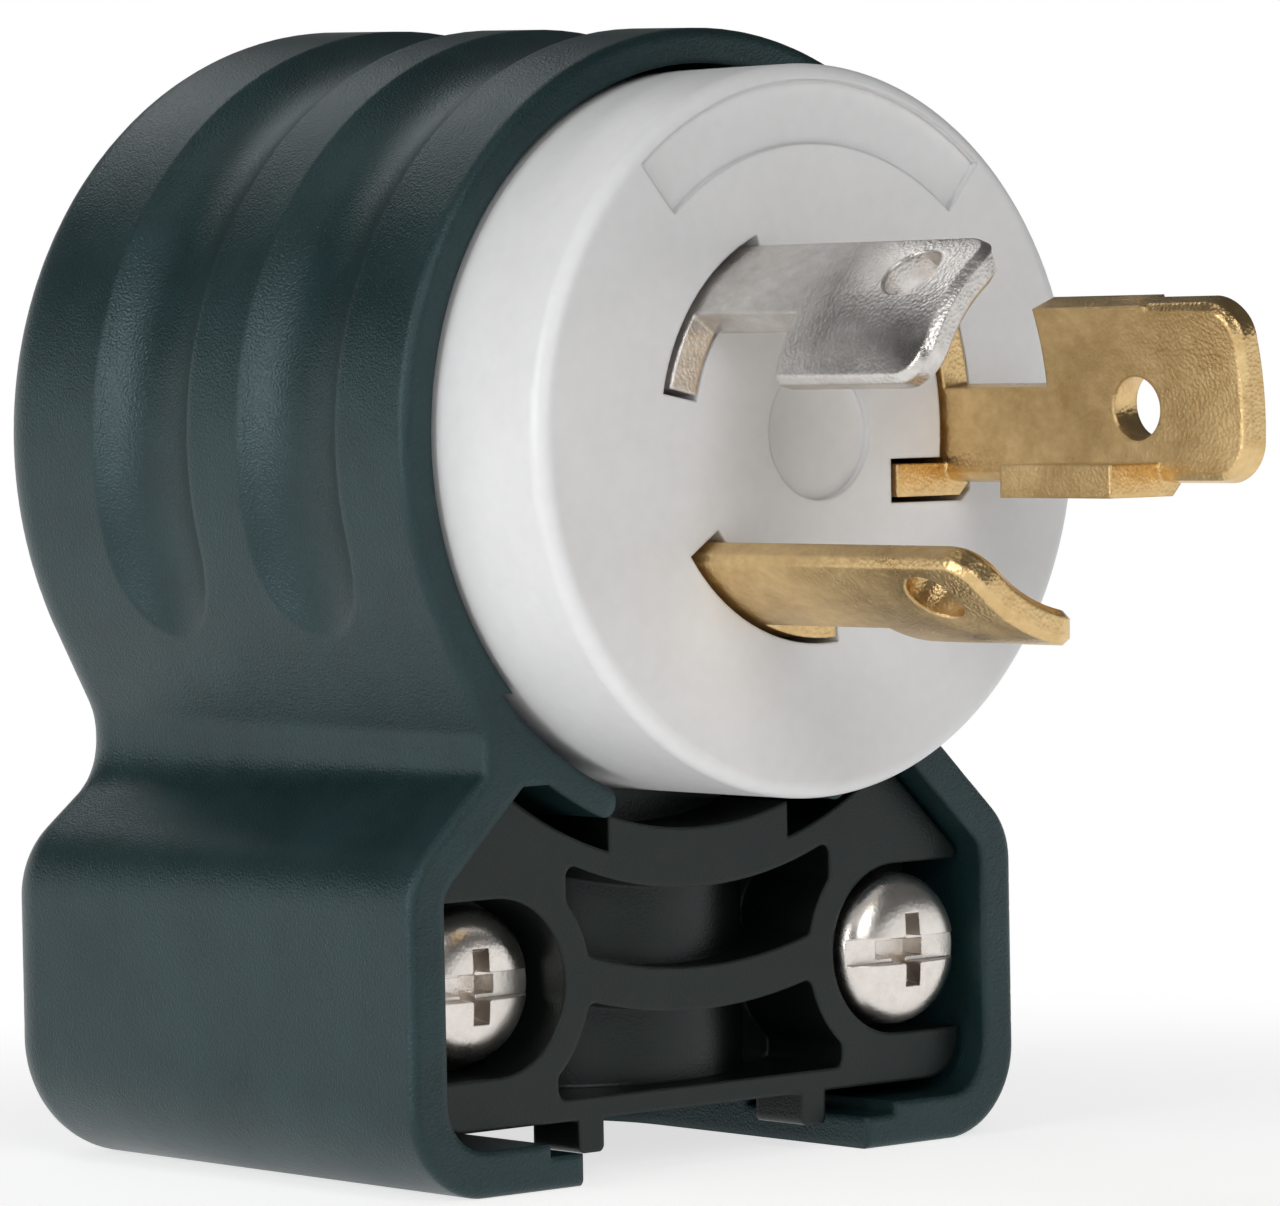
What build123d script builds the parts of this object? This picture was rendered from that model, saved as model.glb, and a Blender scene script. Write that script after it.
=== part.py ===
# Angled twist-lock plug: a ribbed housing with a round blade face in its barrel
# and a cord clamp in the mouth of the square block below.
# Millimetres. +Z is up, the blades point to -Y, and +X is right seen from the blades.
# The origin is the middle of the plug's base.
# Depths are measured backwards from the housing's front rim, so what stands out is negative.
import os
from math import acos, atan2, cos, degrees, hypot, radians, sin, sqrt

from build123d import *

os.makedirs("parts", exist_ok=True)

# Blade face and its place
face_radius = 15.6
face_protrusion = 6.6

# Housing
housing_depth = 27.7
barrel_wall = 1.5
barrel_clearance = 0.3
flare = 1.1
block_wall = 1.8
floor_wall = 1.95
back_wall = 2.0
neck_gap = 0.78
neck_angle = -43.4
neck_height = 1.6
neck_spread = 0.8
shoulder_reach = 4.3
shoulder_drop = 4.1
block_side_height = 13.7
neck_fillet = 0.4
back_neck_fillet = 3.0
shoulder_fillet = 3.2
base_fillet = 4.0
back_base_fillet = 5.5
back_edge_fillet = 2.5
rim_edge_fillet = 0.35
base_trim = 0.03

# Grip grooves round the barrel
groove_depths = (7.3, 17.0)
groove_width = 6.4
groove_sink = 1.0
groove_end_angle = 14.0
groove_runout_radius = 16.0
groove_runout_sweep = 24.0

# Cradle fingers that reach under the blade face
finger_gap = 0.75
finger_thickness = 1.3
finger_end_x = 6.1
finger_depth = 9.0
finger_relief = 5.6
finger_rise = 1.3

# Cord passage
outlet_half_width = 8.3
outlet_end_depth = 22.3
outlet_lip_half_width = 10.1
outlet_lip_thickness = 1.4
jaw_radius = 6.5
jaw_axis_depth = 11.3
saddle_radius = 7.2
saddle_axis_depth = 12.5
saddle_rib_thickness = 2.0
saddle_rib_offsets = (-3.2, 2.8)

# Cord clamp
clamp_recess = 1.5
clamp_thickness = 6.4
clamp_clearance = 0.3
clamp_foot_gap = 0.65
clamp_slot = 1.0
clamp_ear_fillet = 0.5
clamp_crown_half_width = 5.2
clamp_crown_rise = 1.5
upper_pocket_drop = 1.1
upper_pocket_height = 3.45
upper_pocket_inset = 3.9
pocket_bar = 1.9
lower_pocket_inset = 3.3
lower_pocket_lift = 3.55
pocket_rim = 1.4
pocket_floor_wall = 1.8
pocket_fillet = 0.45
pocket_depth = 4.9
leg_inner_x = 5.8
leg_width = 1.4
leg_drop = 1.45
leg_depth = 3.0
leg_corner = 0.3
tooth_height = 0.8
tooth_width = 1.4
tooth_root = 0.3
tooth_offsets = (-3.7, 0, 3.7)
tongue_thickness = 2.4
tongue_depth = 5.8

# Clamp screws and their nuts
screw_inset = 5.9
screw_drop = 5.1
screw_head_radius = 3.4
screw_head_rim = 0.9
screw_head_height = 2.4
screw_shank_radius = 1.7
screw_length = 14.0
right_screw_back_off = 2.2
screw_well_radius = 3.8
screw_seat_depth = 4.9
screw_hole_clearance = 0.2
thread_clearance = 0.05
crown_reach = 0.65
crown_sag = 0.12
slot_width = 1.15
slot_sink = 1.05
cross_span = 4.3
cross_width = 1.25
cross_sink = 1.6
cross_taper = 10
nut_width = 7.9
nut_thickness = 2.8
nut_depth = 11.0
nut_clearance = 0.1
post_reach = 4.2
post_half_height = 4.9

# Blades
blade_radius = 8.75
blade_thickness = 1.4
neutral_length = 15.0
line_length = 15.9
ground_length = 17.9
ground_bend_radius = 14.7
foot_height = 0.15
blade_hole_radius = 1.35
tip_corner = 1.7
tail_corner = 1.2
tip_bevel = 0.3
slot_clearance = 0.25
ground_tab_reach = 2.8
tab_drop = 0.5
arc_end_depth = 5.5
ground_tab_tip_gap = 5.0
tail_start_depth = 4.8
tail_end_depth = 14.0
tail_width = 7.0

# Blade stations: foot, neck and hook angles in degrees, hook start and hole measured from the face
neutral_angles = {"foot": (114, 167), "neck": (114, 145), "hook": (114, 166)}
line_angles = {"foot": (-144, -86), "neck": (-144, -113), "hook": (-144, -91)}
ground_angles = {"foot": (-9, 18), "neck": (-9, 7), "hook": (-9, 21)}
neutral_hook_start = 6.4
line_hook_start = 7.7
ground_hook_start = 6.4
hole_back = 3.2
ground_hole_back = 6.3
ground_hole_angle = 6

# Blade face recesses
panel_width = 3.4
panel_angles = (50, 131)
panel_sink = 0.35
badge_radius = 2.9
face_edge_fillet = 0.7

# Terminal body
face_body_back = 4.0
terminal_body_back = 16.0
window_width = 8.8
window_start = 4.6
window_end = 14.6
tail_clearance = 0.15
terminal_depth = 9.4
terminal_screw_length = 6.4
terminal_tip_room = 0.4
terminal_head_radius = 3.0
terminal_head_rim = 0.8
terminal_head_height = 1.9
pressure_plate_size = 7.4
pressure_plate_thickness = 1.3
pressure_plate_corner = 0.5
retaining_groove_sink = 1.3
retaining_groove_clearance = 0.4
body_screw_inset = 3.7
body_screw_head_radius = 2.3
body_screw_head_rim = 0.6
body_screw_head_height = 1.6
body_screw_shank_radius = 1.25
body_screw_bite = 6.0
seat_rib_width = 2.6
seat_rib_reach = 2.5
seat_rib_root = 0.6
seat_rib_angles = (45, 135, 215, 325)

# How far a cut runs past what it cuts, and how far a joined form runs into its neighbour
overcut = 1.0
overlap = 0.5

# Derived places
front_reach = face_protrusion + ground_length
rim_y = (front_reach - housing_depth) / 2
barrel_inner_radius = face_radius + barrel_clearance
barrel_radius = barrel_inner_radius + barrel_wall
neck_x = (barrel_radius + neck_gap) * cos(radians(neck_angle))
neck_top = (barrel_radius + neck_gap) * sin(radians(neck_angle))
neck_z = neck_top - neck_height
shoulder_z = neck_z - shoulder_drop
block_half_width = neck_x + shoulder_reach
axis_height = block_side_height - shoulder_z
base_z = -axis_height
finger_top = neck_top + finger_rise
screw_x = block_half_width - screw_inset
screw_z = shoulder_z - screw_drop
post_inner_x = screw_x - post_reach
upper_pocket_half_width = screw_x - upper_pocket_inset
lower_pocket_half_width = screw_x - lower_pocket_inset
saddle_rib_heights = [screw_z + offset for offset in saddle_rib_offsets]
tooth_heights = [screw_z + offset for offset in tooth_offsets]
panel_inner_radius = face_radius - panel_width
retaining_groove_radius = face_radius - retaining_groove_sink
body_screw_radius = face_radius - body_screw_inset
inner_half_width = block_half_width - block_wall
inner_floor_z = base_z + floor_wall
inner_back_depth = housing_depth - back_wall
finger_inner_radius = face_radius + finger_gap
finger_outer_radius = finger_inner_radius + finger_thickness
clamp_back_depth = clamp_recess + clamp_thickness
clamp_top_radius = finger_outer_radius + clamp_slot
clamp_base_z = inner_floor_z + clamp_foot_gap
crown_radius = clamp_top_radius - clamp_crown_rise
upper_pocket_arc = clamp_top_radius + upper_pocket_drop
bar_arc = upper_pocket_arc + upper_pocket_height
lower_pocket_arc = bar_arc + pocket_bar
blade_inner_radius = blade_radius - blade_thickness
blade_mid_radius = blade_radius - blade_thickness / 2


def face_plane(depth):
    """Plane across the blade axis, local +Z towards the blades, at a depth behind the rim."""
    return Plane(origin=(0, rim_y + depth, axis_height), x_dir=(1, 0, 0), z_dir=(0, -1, 0))


def radial_plane(angle, radius, depth):
    """Plane facing outwards from the blade axis; local X runs backwards, local Y goes round."""
    out = (cos(radians(angle)), 0, sin(radians(angle)))
    origin = (radius * out[0], rim_y + depth, axis_height + radius * out[2])
    return Plane(origin=origin, x_dir=(0, 1, 0), z_dir=out)


def level_plane(height):
    """Level plane above the blade axis by height, local X to the right, local Y backwards."""
    return Plane(origin=(0, rim_y, axis_height + height), x_dir=(1, 0, 0), z_dir=(0, 0, 1))


def polar(radius, angle):
    """Point at a radius and an angle round the blade axis."""
    return (radius * cos(radians(angle)), radius * sin(radians(angle)))


def finish(part, label):
    """Name a finished piece and write it."""
    part.label = label
    export_step(part, f"parts/{label}.step")


def housing_outline(depth, spread, neck_drop, neck_round, base_round):
    """Housing's outline at a depth, wider all round by spread except at its base."""
    radius = barrel_radius + spread
    neck = (neck_x + spread, neck_top)
    neck_foot = (neck_x + spread, neck_z - neck_drop)
    tangent_angle = degrees(atan2(neck[1], neck[0])) + degrees(acos(radius / hypot(*neck)))
    tangent = polar(radius, tangent_angle)
    half = block_half_width + spread
    low = base_z - base_trim
    with BuildSketch(face_plane(depth)) as outline:
        with BuildLine():
            ThreePointArc(tangent, (0, radius), (-tangent[0], tangent[1]))
            right = [(half, low), (half, shoulder_z), neck_foot, neck]
            left = [(-x, z) for x, z in reversed(right)]
            Polyline((-tangent[0], tangent[1]), *left, *right, tangent)
        make_face()
        necks = [v for v in outline.vertices() if abs(abs(v.X) - neck[0]) < 0.01]
        fillet(necks, neck_round)
        shoulders = [v for v in outline.vertices() if abs(v.Y - shoulder_z) < 0.01]
        fillet(shoulders, shoulder_fillet + spread)
        corners = [v for v in outline.vertices() if abs(v.Y - low) < 0.01]
        fillet(corners, base_round)
    return outline.sketch


def block_outline(depth, inset, low, shoulder_round, base_round):
    """Inside of the cord block at a depth, inset from its outer faces, down to a low edge."""
    slope = Vector(block_half_width - neck_x, shoulder_z - neck_z).normalized()
    start = Vector(neck_x, neck_z) + Vector(slope.Y, -slope.X) * inset - slope
    half = block_half_width - inset
    shoulder = start + slope * ((half - start.X) / slope.X)
    right = [(half, low), (half, shoulder.Y), (start.X, start.Y)]
    left = [(-x, z) for x, z in reversed(right)]
    with BuildSketch(face_plane(depth)) as outline:
        Polygon(*left, *right, align=None)
        fillet([v for v in outline.vertices() if abs(v.Y - low) < 0.01], base_round)
        fillet([v for v in outline.vertices() if abs(v.Y - shoulder.Y) < 0.01], shoulder_round)
    return outline.sketch


def groove_tool(depth):
    """Round cutter swept round the barrel, which lifts out of the wall at both ends."""
    surface_radius = barrel_radius + flare * depth / housing_depth
    cutter_radius = (groove_width**2 / 4 + groove_sink**2) / (2 * groove_sink)
    path_radius = surface_radius - groove_sink + cutter_radius
    sweep_angle = 180 + 2 * groove_end_angle
    with BuildPart() as tool:
        with BuildLine(face_plane(depth)) as path:
            around = CenterArc((0, 0), path_radius, -groove_end_angle, sweep_angle)
            JernArc(around @ 1, around % 1, groove_runout_radius, -groove_runout_sweep)
            JernArc(around @ 0, (around % 0) * -1, groove_runout_radius, groove_runout_sweep)
        rail = Wire(path.edges())
        with BuildSketch(Plane(origin=rail @ 0, z_dir=rail % 0)):
            Circle(cutter_radius)
        sweep(path=rail)
    return tool.part


# Housing shell, a drafted loft from the rim to the wider back, hollowed from the front
with BuildPart() as housing:
    front_outline = housing_outline(0, 0, 0, neck_fillet, base_fillet)
    back_outline = housing_outline(housing_depth, flare, neck_spread, back_neck_fillet, back_base_fillet)
    loft(sections=[front_outline, back_outline], ruled=True)
    fillet(housing.faces().sort_by(Axis.Y)[-1].edges(), back_edge_fillet)
    for depth in groove_depths:
        add(groove_tool(depth), mode=Mode.SUBTRACT)
    rim_edges = housing.faces().sort_by(Axis.Y)[0].edges()
    fillet(rim_edges, rim_edge_fillet)
    split(bisect_by=Plane.XY, keep=Keep.TOP)

    # Barrel bore, relieved below where the fingers cradle the blade face
    with BuildSketch(face_plane(inner_back_depth)):
        Circle(barrel_inner_radius)
    extrude(amount=inner_back_depth + overcut, mode=Mode.SUBTRACT)
    with BuildSketch(face_plane(inner_back_depth)):
        Circle(finger_inner_radius)
        with Locations((0, -finger_inner_radius)):
            Rectangle(2 * finger_inner_radius, 2 * finger_relief, mode=Mode.INTERSECT)
    extrude(amount=inner_back_depth + overcut, mode=Mode.SUBTRACT)
    cavity = block_outline(inner_back_depth, block_wall, inner_floor_z, shoulder_fillet - block_wall,
                           base_fillet - block_wall)
    extrude(cavity, amount=inner_back_depth + overcut, mode=Mode.SUBTRACT)

    # Fingers
    for side in (-1, 1):
        with BuildSketch(face_plane(finger_depth)) as finger:
            Circle(finger_outer_radius)
            Circle(finger_inner_radius, mode=Mode.SUBTRACT)
            with Locations((side * (finger_end_x + neck_x) / 2, (finger_top - finger_outer_radius) / 2)):
                Rectangle(neck_x - finger_end_x, finger_top + finger_outer_radius, mode=Mode.INTERSECT)
            tips = [v for v in finger.vertices() if abs(abs(v.X) - finger_end_x) < 0.01]
            fillet(tips, 0.45 * finger_thickness)
        extrude(amount=finger_depth)

    # Screw posts, with the clamp resting on their ends
    post_width = inner_half_width - post_inner_x
    for side in (-1, 1):
        with BuildSketch(face_plane(inner_back_depth + overlap)):
            with Locations((side * (post_inner_x + (post_width + overlap) / 2), screw_z)):
                Rectangle(post_width + overlap, 2 * post_half_height)
        extrude(amount=inner_back_depth + overlap - clamp_back_depth)

    # Saddle ribs that the cord lies in
    for height in saddle_rib_heights:
        with BuildSketch(level_plane(height)):
            with Locations((0, (saddle_axis_depth + inner_back_depth + overlap) / 2)):
                Rectangle(2 * post_inner_x + overlap, inner_back_depth + overlap - saddle_axis_depth)
            with Locations((0, saddle_axis_depth)):
                Circle(saddle_radius, mode=Mode.SUBTRACT)
        extrude(amount=saddle_rib_thickness)

    # Ribs that the blade assembly seats on
    for angle in seat_rib_angles:
        with BuildSketch(face_plane(inner_back_depth + overlap)):
            with PolarLocations(barrel_inner_radius + seat_rib_root - seat_rib_reach / 2, 1, angle):
                Rectangle(seat_rib_reach, seat_rib_width)
        extrude(amount=inner_back_depth + overlap - terminal_body_back)

    # Cord outlet through the floor, with a thinner lip round its mouth
    with BuildSketch(level_plane(base_z)):
        with Locations((0, (outlet_end_depth - outlet_half_width) / 2)):
            Rectangle(2 * outlet_half_width, outlet_end_depth - outlet_half_width)
        with Locations((0, outlet_end_depth - outlet_half_width)):
            Circle(outlet_half_width)
    extrude(amount=floor_wall + overcut, mode=Mode.SUBTRACT)
    with BuildSketch(level_plane(base_z + outlet_lip_thickness)):
        with Locations((0, clamp_back_depth / 2)):
            Rectangle(2 * outlet_lip_half_width, clamp_back_depth)
    extrude(amount=floor_wall - outlet_lip_thickness + overcut, mode=Mode.SUBTRACT)

    # Screw bores and side slots for the nuts
    for side in (-1, 1):
        with BuildSketch(face_plane(screw_seat_depth + screw_length + overcut)):
            with Locations((side * screw_x, screw_z)):
                Circle(screw_shank_radius + screw_hole_clearance)
        extrude(amount=screw_seat_depth + screw_length + overcut - clamp_recess, mode=Mode.SUBTRACT)
        slot_reach = screw_x + nut_width / 2 + nut_clearance - post_inner_x
        with BuildSketch(face_plane(nut_depth + nut_thickness + nut_clearance)):
            with Locations((side * (post_inner_x + slot_reach / 2), screw_z)):
                Rectangle(slot_reach, nut_width + 2 * nut_clearance)
        extrude(amount=nut_thickness + 2 * nut_clearance, mode=Mode.SUBTRACT)


def blade_section(depth, span, grow=0.0, bend=blade_mid_radius, tab=False):
    """Curved strip section of a blade; the ground blade's is flatter, with a tab that turns inwards."""
    spread = degrees(grow / bend)
    first, last = span
    middle = (first + last) / 2
    centre = blade_mid_radius - bend
    outside = bend + blade_thickness / 2
    inside = bend - blade_thickness / 2
    with BuildSketch(face_plane(depth)) as section:
        with Locations((centre, 0)):
            Circle(outside + grow)
            Circle(inside - grow, mode=Mode.SUBTRACT)
        rays = [polar(2 * outside, angle) for angle in (first - spread, middle, last + spread)]
        rays = [(centre + x, z) for x, z in rays]
        Polygon((centre, 0), *rays, align=None, mode=Mode.INTERSECT)
        if tab:
            x, z = polar(outside, first)
            heel = centre + polar(inside, first)[0]
            low = z - tab_drop - grow
            high = z - tab_drop + blade_thickness + grow
            tip = heel - ground_tab_reach - grow
            side = centre + x + grow
            Polygon((tip, high), (tip, low), (side - tab_drop, low), (side, low + tab_drop), (side, high), align=None)
    return section.sketch


def blade_station(angles):
    """Middle angle of a blade's foot, where its terminal sits."""
    return sum(angles["foot"]) / 2


def build_blade(angles, length, start, hole_from_tip, hole_angle, bend=blade_mid_radius, tab=False):
    """Stamped blade: a foot through the face, a narrow neck, a hooked end and a flat tail."""
    station = blade_station(angles)
    with BuildPart() as blade:
        foot = blade_section(arc_end_depth, angles["foot"], bend=bend, tab=tab)
        extrude(foot, amount=arc_end_depth + face_protrusion + foot_height)
        neck = blade_section(-face_protrusion, angles["neck"], bend=bend)
        extrude(neck, amount=start + overlap)
        hook = blade_section(-face_protrusion - start, angles["hook"], bend=bend)
        extrude(hook, amount=length - start)
        tip_face = blade.faces().sort_by(Axis.Y)[0]
        fillet(tip_face.edges().filter_by(GeomType.LINE), tip_corner)
        tip_face = blade.faces().sort_by(Axis.Y)[0]
        chamfer(tip_face.edges().filter_by(GeomType.CIRCLE), tip_bevel)
        if tab:
            hook_with_tab = blade_section(-face_protrusion - start, angles["hook"], bend=bend, tab=True)
            extrude(hook_with_tab, amount=length - start - ground_tab_tip_gap)
        with BuildSketch(radial_plane(hole_angle, 0, hole_from_tip - length - face_protrusion)):
            Circle(blade_hole_radius)
        extrude(amount=2 * blade_radius, mode=Mode.SUBTRACT)
        middle_depth = (tail_start_depth + tail_end_depth) / 2
        with BuildSketch(radial_plane(station, blade_inner_radius, middle_depth)) as tail:
            Rectangle(tail_end_depth - tail_start_depth, tail_width)
            fillet(tail.vertices().group_by(Axis.X)[-1], tail_corner)
        extrude(amount=blade_thickness)
        with BuildSketch(radial_plane(station, 0, terminal_depth)):
            Circle(screw_shank_radius + thread_clearance)
        extrude(amount=2 * blade_radius, mode=Mode.SUBTRACT)
    return blade.part


blades = {
    "neutral": (neutral_angles, blade_mid_radius, False),
    "line": (line_angles, blade_mid_radius, False),
    "ground": (ground_angles, ground_bend_radius, True),
}
finish(build_blade(neutral_angles, neutral_length, neutral_hook_start, hole_back, 131), "neutral_blade")
finish(build_blade(line_angles, line_length, line_hook_start, hole_back, -130), "line_blade")
ground_blade = build_blade(ground_angles, ground_length, ground_hook_start, ground_hole_back, ground_hole_angle,
                           bend=ground_bend_radius, tab=True)
finish(ground_blade, "ground_blade")

stations = [blade_station(angles) % 360 for angles, bend, tab in blades.values()]
stations.sort()
screw_angles = []
for index, station in enumerate(stations):
    following = stations[(index + 1) % 3]
    screw_angles.append(station + ((following - station) % 360) / 2)

# Blade face, with a slot for each blade, a bare arc panel and a bare round recess
with BuildPart() as face_body:
    with BuildSketch(face_plane(face_body_back)):
        Circle(face_radius)
    extrude(amount=face_body_back + face_protrusion)
    fillet(face_body.faces().sort_by(Axis.Y)[0].edges(), face_edge_fillet)
    for angles, bend, tab in blades.values():
        slot = blade_section(face_body_back, angles["foot"], grow=slot_clearance, bend=bend, tab=tab)
        extrude(slot, amount=face_body_back + face_protrusion, mode=Mode.SUBTRACT)
    with BuildSketch(face_plane(-face_protrusion)):
        Circle(face_radius - face_edge_fillet)
        Circle(panel_inner_radius, mode=Mode.SUBTRACT)
        rays = [polar(2 * face_radius, angle) for angle in panel_angles]
        crown = polar(2 * face_radius, sum(panel_angles) / 2)
        Polygon((0, 0), rays[0], crown, rays[1], align=None, mode=Mode.INTERSECT)
        Circle(badge_radius)
    extrude(amount=-panel_sink, mode=Mode.SUBTRACT)
    for angle in screw_angles:
        with BuildSketch(face_plane(face_body_back)):
            with PolarLocations(body_screw_radius, 1, angle):
                Circle(body_screw_shank_radius + thread_clearance)
        extrude(amount=body_screw_bite + overlap, mode=Mode.SUBTRACT)
finish(face_body.part, "face_body")

# Rear moulding that traps the blade tails, with a window and a terminal for each
with BuildPart() as terminal_body:
    with BuildSketch(face_plane(terminal_body_back)):
        Circle(face_radius)
    extrude(amount=terminal_body_back - face_body_back)
    with BuildSketch(face_plane(tongue_depth + tongue_thickness + retaining_groove_clearance)):
        Circle(face_radius + overcut)
        Circle(retaining_groove_radius, mode=Mode.SUBTRACT)
    extrude(amount=tongue_thickness + 2 * retaining_groove_clearance, mode=Mode.SUBTRACT)
    for angles, bend, tab in blades.values():
        station = blade_station(angles)
        foot_pocket = blade_section(arc_end_depth + tail_clearance, angles["foot"], grow=tail_clearance,
                                    bend=bend, tab=tab)
        extrude(foot_pocket, amount=arc_end_depth, mode=Mode.SUBTRACT)
        window_middle = (window_start + window_end) / 2
        with BuildSketch(radial_plane(station, blade_inner_radius - tail_clearance, window_middle)):
            Rectangle(window_end - window_start, window_width)
        extrude(amount=face_radius, mode=Mode.SUBTRACT)
        bore_start = blade_radius + pressure_plate_thickness - terminal_screw_length - terminal_tip_room
        with BuildSketch(radial_plane(station, bore_start, terminal_depth)):
            Circle(screw_shank_radius + screw_hole_clearance)
        extrude(amount=blade_radius, mode=Mode.SUBTRACT)
    for angle in screw_angles:
        with BuildSketch(face_plane(terminal_body_back)):
            with PolarLocations(body_screw_radius, 1, angle):
                Circle(body_screw_shank_radius + screw_hole_clearance)
        extrude(amount=terminal_body_back - face_body_back, mode=Mode.SUBTRACT)
        with BuildSketch(face_plane(terminal_body_back)):
            with PolarLocations(body_screw_radius, 1, angle):
                Circle(body_screw_head_radius + screw_hole_clearance)
        extrude(amount=body_screw_head_height + screw_hole_clearance, mode=Mode.SUBTRACT)
finish(terminal_body.part, "terminal_body")


def build_pan_screw(plane, head_radius, rim, height, shank_radius, length):
    """Pan-head screw with a slot and cross recess, seated on a plane that faces its head."""
    with BuildPart() as screw:
        profile_plane = Plane(origin=plane.origin, x_dir=plane.x_dir, z_dir=plane.y_dir * -1)
        with BuildSketch(profile_plane):
            with BuildLine():
                top_point = (0, height)
                edge = (head_radius, rim)
                shoulder = (crown_reach * head_radius, height - crown_sag * (height - rim))
                crown = TangentArc(top_point, shoulder, tangent=(1, 0))
                TangentArc(shoulder, edge, tangent=crown % 1)
                shank = [(shank_radius, 0), (shank_radius, -length), (0, -length)]
                Polyline(edge, (head_radius, 0), *shank, top_point)
            make_face()
        revolve(axis=Axis(plane.origin, plane.z_dir))
        top = plane.offset(height)
        with BuildSketch(top):
            Rectangle(3 * head_radius, slot_width * head_radius / screw_head_radius)
        extrude(amount=-slot_sink * height / screw_head_height, mode=Mode.SUBTRACT)
        with BuildSketch(top):
            size = head_radius / screw_head_radius
            Rectangle(cross_span * size, cross_width * size)
            Rectangle(cross_width * size, cross_span * size)
        extrude(amount=-cross_sink * height / screw_head_height, taper=cross_taper, mode=Mode.SUBTRACT)
    return screw.part


# Terminals: a pressure plate and a screw on each blade's tail
for name, (angles, bend, tab) in blades.items():
    station = blade_station(angles)
    with BuildPart() as pressure_plate:
        with BuildSketch(radial_plane(station, blade_radius, terminal_depth)):
            RectangleRounded(pressure_plate_size, pressure_plate_size, pressure_plate_corner)
            Circle(screw_shank_radius + screw_hole_clearance, mode=Mode.SUBTRACT)
        extrude(amount=pressure_plate_thickness)
    finish(pressure_plate.part, f"{name}_clamp_plate")
    seat = radial_plane(station, blade_radius + pressure_plate_thickness, terminal_depth)
    terminal_screw = build_pan_screw(seat, terminal_head_radius, terminal_head_rim, terminal_head_height,
                                     screw_shank_radius, terminal_screw_length)
    finish(terminal_screw, f"{name}_terminal_screw")

# Screws that join the two round mouldings from behind
for name, angle in zip(("upper", "left", "right"), screw_angles):
    x, z = polar(body_screw_radius, angle)
    seat_depth = terminal_body_back - body_screw_head_height - screw_hole_clearance
    seat = Plane(origin=(x, rim_y + seat_depth, axis_height + z), x_dir=(1, 0, 0), z_dir=(0, 1, 0))
    length = seat_depth - face_body_back + body_screw_bite
    body_screw = build_pan_screw(seat, body_screw_head_radius, body_screw_head_rim, body_screw_head_height,
                                 body_screw_shank_radius, length)
    finish(body_screw, f"{name}_body_screw")

def pocket_tool(upper_arc, lower_arc, half_width, low):
    """Pocket below an arc round the blade axis, floored by the jaw's wall."""
    with BuildPart() as tool:
        with BuildSketch(face_plane(pocket_depth + clamp_recess)) as pocket:
            with Locations((0, low / 2)):
                Rectangle(2 * half_width, -low)
            Circle(upper_arc, mode=Mode.SUBTRACT)
            Circle(lower_arc, mode=Mode.INTERSECT)
            with Locations((-screw_x, screw_z), (screw_x, screw_z)):
                Circle(screw_well_radius + pocket_rim, mode=Mode.SUBTRACT)
            fillet(pocket.vertices(), pocket_fillet)
        extrude(amount=pocket_depth + overcut)
        with BuildSketch(level_plane(base_z)):
            with Locations((0, jaw_axis_depth)):
                Circle(jaw_radius + pocket_floor_wall)
        extrude(amount=axis_height, mode=Mode.SUBTRACT)
    return tool.part


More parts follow.
